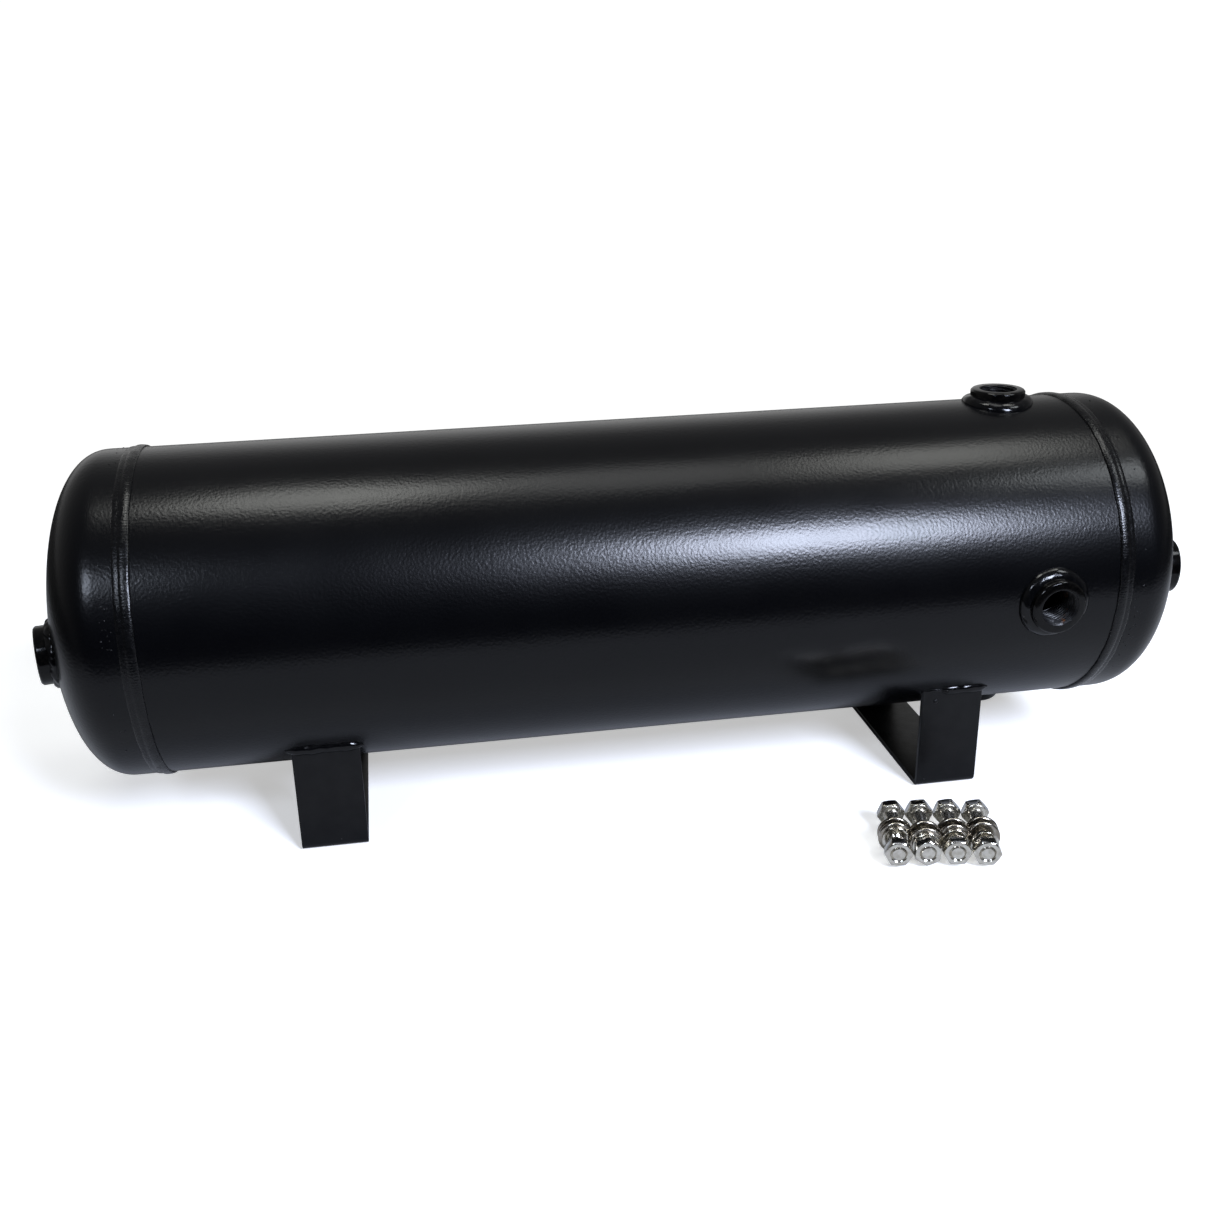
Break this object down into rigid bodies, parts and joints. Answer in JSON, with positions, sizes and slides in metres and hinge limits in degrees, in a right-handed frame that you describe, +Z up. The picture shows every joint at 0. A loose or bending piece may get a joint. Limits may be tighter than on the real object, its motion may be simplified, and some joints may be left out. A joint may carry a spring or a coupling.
{
  "type": "compressed air receiver tank",
  "caption": "Small horizontal welded steel air receiver with dished heads, threaded ports and strap legs, and loose bolts, washers and nuts to mount it.",
  "frame": {"origin": "on the floor, in the middle of the floor space of the tank with its loose hardware; the tank's axis is 32 mm behind it and 116.8 mm above it", "axes": "+X along the tank towards the end with the side ports, -Y towards the front, where the front port and the hardware are, +Z up"},
  "size_m": [0.6002, 0.2328, 0.2079],
  "materials": {
    "powder_coat": "satin black powder coat with a fine orange peel",
    "coated_weld": "rippled weld bead under glossier black powder coat",
    "stainless": "bright turned and rolled stainless steel"
  },
  "bodies": {
    "tank": {"shell": "powder_coat", "left_head": "powder_coat", "left_girth_weld": "coated_weld", "left_leg": "powder_coat", "left_leg_front_weld": "coated_weld", "left_leg_rear_weld": "coated_weld", "right_head": "powder_coat", "right_girth_weld": "coated_weld", "right_leg": "powder_coat", "right_leg_front_weld": "coated_weld", "right_leg_rear_weld": "coated_weld", "top_port": "powder_coat", "top_port_weld": "coated_weld", "front_port": "powder_coat", "front_port_weld": "coated_weld", "bottom_port": "powder_coat", "bottom_port_weld": "coated_weld", "left_end_port": "powder_coat", "left_end_port_weld": "coated_weld", "right_end_port": "powder_coat", "right_end_port_weld": "coated_weld"},
    "washer_stack_1": {"inner_washer_1": "stainless", "outer_washer_1": "stainless", "lock_washer_1": "stainless"},
    "bolt_1": {"bolt_1": "stainless"},
    "nut_1": {"nut_1": "stainless"},
    "washer_stack_2": {"inner_washer_2": "stainless", "outer_washer_2": "stainless", "lock_washer_2": "stainless"},
    "bolt_2": {"bolt_2": "stainless"},
    "nut_2": {"nut_2": "stainless"},
    "washer_stack_3": {"inner_washer_3": "stainless", "outer_washer_3": "stainless", "lock_washer_3": "stainless"},
    "bolt_3": {"bolt_3": "stainless"},
    "nut_3": {"nut_3": "stainless"},
    "washer_stack_4": {"inner_washer_4": "stainless", "outer_washer_4": "stainless", "lock_washer_4": "stainless"},
    "bolt_4": {"bolt_4": "stainless"},
    "nut_4": {"nut_4": "stainless"}
  },
  "joints": [
    {"name": "set_lift_1", "type": "slide", "parent": "tank", "child": "washer_stack_1", "axis": [0, 0, 1], "range_m": [0, 0.12]},
    {"name": "bolt_spin_1", "type": "hinge", "parent": "washer_stack_1", "child": "bolt_1", "pos_m": [0.12049, -0.069, 0.00873], "axis": [0.2622, 0.965, 0], "range_deg": [0, 1800]},
    {"name": "nut_travel_1", "type": "slide", "parent": "washer_stack_1", "child": "nut_1", "axis": [-0.2622, -0.965, 0], "range_m": [0, 0.00706]},
    {"name": "set_lift_2", "type": "slide", "parent": "tank", "child": "washer_stack_2", "axis": [0, 0, 1], "range_m": [0, 0.12]},
    {"name": "bolt_spin_2", "type": "hinge", "parent": "washer_stack_2", "child": "bolt_2", "pos_m": [0.135, -0.07108, 0.00873], "axis": [0.2622, 0.965, 0], "range_deg": [0, 1800]},
    {"name": "nut_travel_2", "type": "slide", "parent": "washer_stack_2", "child": "nut_2", "axis": [-0.2622, -0.965, 0], "range_m": [0, 0.00706]},
    {"name": "set_lift_3", "type": "slide", "parent": "tank", "child": "washer_stack_3", "axis": [0, 0, 1], "range_m": [0, 0.12]},
    {"name": "bolt_spin_3", "type": "hinge", "parent": "washer_stack_3", "child": "bolt_3", "pos_m": [0.14938, -0.07364, 0.00873], "axis": [0.2622, 0.965, 0], "range_deg": [0, 1800]},
    {"name": "nut_travel_3", "type": "slide", "parent": "washer_stack_3", "child": "nut_3", "axis": [-0.2622, -0.965, 0], "range_m": [0, 0.00706]},
    {"name": "set_lift_4", "type": "slide", "parent": "tank", "child": "washer_stack_4", "axis": [0, 0, 1], "range_m": [0, 0.12]},
    {"name": "bolt_spin_4", "type": "hinge", "parent": "washer_stack_4", "child": "bolt_4", "pos_m": [0.16353, -0.07707, 0.00873], "axis": [0.2622, 0.965, 0], "range_deg": [0, 1800]},
    {"name": "nut_travel_4", "type": "slide", "parent": "washer_stack_4", "child": "nut_4", "axis": [-0.2622, -0.965, 0], "range_m": [0, 0.00706]}
  ],
  "couplings": [
    {"joint": "nut_travel_1", "follows": "bolt_spin_1", "m_per_rad": 0.00022458},
    {"joint": "nut_travel_2", "follows": "bolt_spin_2", "m_per_rad": 0.00022458},
    {"joint": "nut_travel_3", "follows": "bolt_spin_3", "m_per_rad": 0.00022458},
    {"joint": "nut_travel_4", "follows": "bolt_spin_4", "m_per_rad": 0.00022458}
  ]
}
